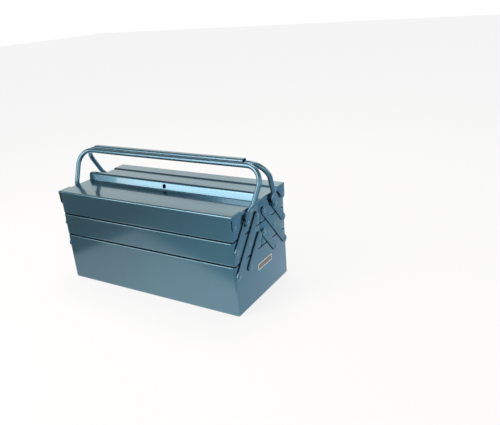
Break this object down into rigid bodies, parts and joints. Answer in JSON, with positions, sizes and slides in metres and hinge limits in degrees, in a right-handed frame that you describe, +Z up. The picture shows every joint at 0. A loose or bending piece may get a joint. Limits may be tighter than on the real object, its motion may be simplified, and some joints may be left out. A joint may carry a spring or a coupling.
{
  "type": "cantilever tool box",
  "caption": "Steel cantilever tool box: trays stacked on a deep base swing out on riveted side bars, with hinged lids, a padlock ridge and paired tube handles.",
  "frame": {"origin": "middle of the base's underside, which is the bottom centre of the closed part's bounding box", "axes": "+X along the length towards the end with the label, -Y towards the side with the closing ridge, +Z up"},
  "size_m": [0.4718, 0.2032, 0.2772],
  "materials": {
    "body_paint": "gloss",
    "bar_paint": "gloss",
    "rivet_paint": "gloss",
    "label_film": "matte"
  },
  "bodies": {
    "base": {"base_trough": "body_paint", "base_end_left": "body_paint", "base_end_right": "body_paint", "base_rivets": "rivet_paint", "base_washers": "rivet_paint", "end_label": "label_film"},
    "front_long_bars": {"front_long_bar_left": "bar_paint", "front_long_bar_right": "bar_paint"},
    "front_lower_bars": {"front_lower_bar_left": "bar_paint", "front_lower_bar_right": "bar_paint"},
    "front_upper_bars": {"front_upper_bar_left": "bar_paint", "front_upper_bar_right": "bar_paint"},
    "front_middle_tray": {"front_middle_trough": "body_paint", "front_middle_end_left": "body_paint", "front_middle_end_right": "body_paint", "front_middle_rivets": "rivet_paint", "front_middle_washers": "rivet_paint"},
    "front_top_tray": {"front_top_trough": "body_paint", "front_top_end_left": "body_paint", "front_top_end_right": "body_paint", "front_top_rivets": "rivet_paint", "front_top_washers": "rivet_paint", "front_lid_pivots": "rivet_paint"},
    "front_lid": {"front_lid_panel": "body_paint", "front_closing_ridge": "body_paint"},
    "front_handle": {"front_handle_tube": "body_paint"},
    "rear_long_bars": {"rear_long_bar_left": "bar_paint", "rear_long_bar_right": "bar_paint"},
    "rear_lower_bars": {"rear_lower_bar_left": "bar_paint", "rear_lower_bar_right": "bar_paint"},
    "rear_upper_bars": {"rear_upper_bar_left": "bar_paint", "rear_upper_bar_right": "bar_paint"},
    "rear_middle_tray": {"rear_middle_trough": "body_paint", "rear_middle_end_left": "body_paint", "rear_middle_end_right": "body_paint", "rear_middle_rivets": "rivet_paint", "rear_middle_washers": "rivet_paint"},
    "rear_top_tray": {"rear_top_trough": "body_paint", "rear_top_end_left": "body_paint", "rear_top_end_right": "body_paint", "rear_top_rivets": "rivet_paint", "rear_top_washers": "rivet_paint", "rear_lid_pivots": "rivet_paint"},
    "rear_lid": {"rear_lid_panel": "body_paint", "rear_closing_strip": "body_paint"},
    "rear_handle": {"rear_handle_tube": "body_paint", "rear_grip_channel": "body_paint"}
  },
  "joints": [
    {"name": "front_trays_open", "type": "hinge", "parent": "base", "child": "front_long_bars", "pos_m": [0, -0.092, 0.082], "axis": [1, 0, 0], "range_deg": [0, 80]},
    {"name": "front_lower_bars_turn", "type": "hinge", "parent": "base", "child": "front_lower_bars", "pos_m": [0, -0.05051, 0.082], "axis": [1, 0, 0], "range_deg": [0, 80]},
    {"name": "front_middle_tray_level", "type": "hinge", "parent": "front_long_bars", "child": "front_middle_tray", "pos_m": [0, -0.04979, 0.1314], "axis": [1, 0, 0], "range_deg": [-80, 0]},
    {"name": "front_upper_bars_turn", "type": "hinge", "parent": "front_middle_tray", "child": "front_upper_bars", "pos_m": [0, -0.09129, 0.1314], "axis": [1, 0, 0], "range_deg": [0, 80]},
    {"name": "front_top_tray_level", "type": "hinge", "parent": "front_long_bars", "child": "front_top_tray", "pos_m": [0, -0.0128, 0.1747], "axis": [1, 0, 0], "range_deg": [-80, 0]},
    {"name": "front_lid_open", "type": "hinge", "parent": "front_top_tray", "child": "front_lid", "pos_m": [0, -0.092, 0.18], "axis": [1, 0, 0], "range_deg": [0, 110]},
    {"name": "front_handle_swing", "type": "hinge", "parent": "front_top_tray", "child": "front_handle", "pos_m": [0, -0.05429, 0.1747], "axis": [1, 0, 0], "range_deg": [0, 90]},
    {"name": "rear_trays_open", "type": "hinge", "parent": "base", "child": "rear_long_bars", "pos_m": [0, 0.092, 0.082], "axis": [-1, 0, 0], "range_deg": [0, 80]},
    {"name": "rear_lower_bars_turn", "type": "hinge", "parent": "base", "child": "rear_lower_bars", "pos_m": [0, 0.05051, 0.082], "axis": [-1, 0, 0], "range_deg": [0, 80]},
    {"name": "rear_middle_tray_level", "type": "hinge", "parent": "rear_long_bars", "child": "rear_middle_tray", "pos_m": [0, 0.04979, 0.1314], "axis": [-1, 0, 0], "range_deg": [-80, 0]},
    {"name": "rear_upper_bars_turn", "type": "hinge", "parent": "rear_middle_tray", "child": "rear_upper_bars", "pos_m": [0, 0.09129, 0.1314], "axis": [-1, 0, 0], "range_deg": [0, 80]},
    {"name": "rear_top_tray_level", "type": "hinge", "parent": "rear_long_bars", "child": "rear_top_tray", "pos_m": [0, 0.0128, 0.1747], "axis": [-1, 0, 0], "range_deg": [-80, 0]},
    {"name": "rear_lid_open", "type": "hinge", "parent": "rear_top_tray", "child": "rear_lid", "pos_m": [0, 0.092, 0.18], "axis": [-1, 0, 0], "range_deg": [0, 110]},
    {"name": "rear_handle_swing", "type": "hinge", "parent": "rear_top_tray", "child": "rear_handle", "pos_m": [0, 0.05429, 0.1747], "axis": [-1, 0, 0], "range_deg": [0, 90]}
  ],
  "couplings": [
    {"joint": "front_lower_bars_turn", "follows": "front_trays_open", "ratio": 1},
    {"joint": "front_middle_tray_level", "follows": "front_trays_open", "ratio": -1},
    {"joint": "front_upper_bars_turn", "follows": "front_trays_open", "ratio": 1},
    {"joint": "front_top_tray_level", "follows": "front_trays_open", "ratio": -1},
    {"joint": "rear_lower_bars_turn", "follows": "rear_trays_open", "ratio": 1},
    {"joint": "rear_middle_tray_level", "follows": "rear_trays_open", "ratio": -1},
    {"joint": "rear_upper_bars_turn", "follows": "rear_trays_open", "ratio": 1},
    {"joint": "rear_top_tray_level", "follows": "rear_trays_open", "ratio": -1}
  ]
}
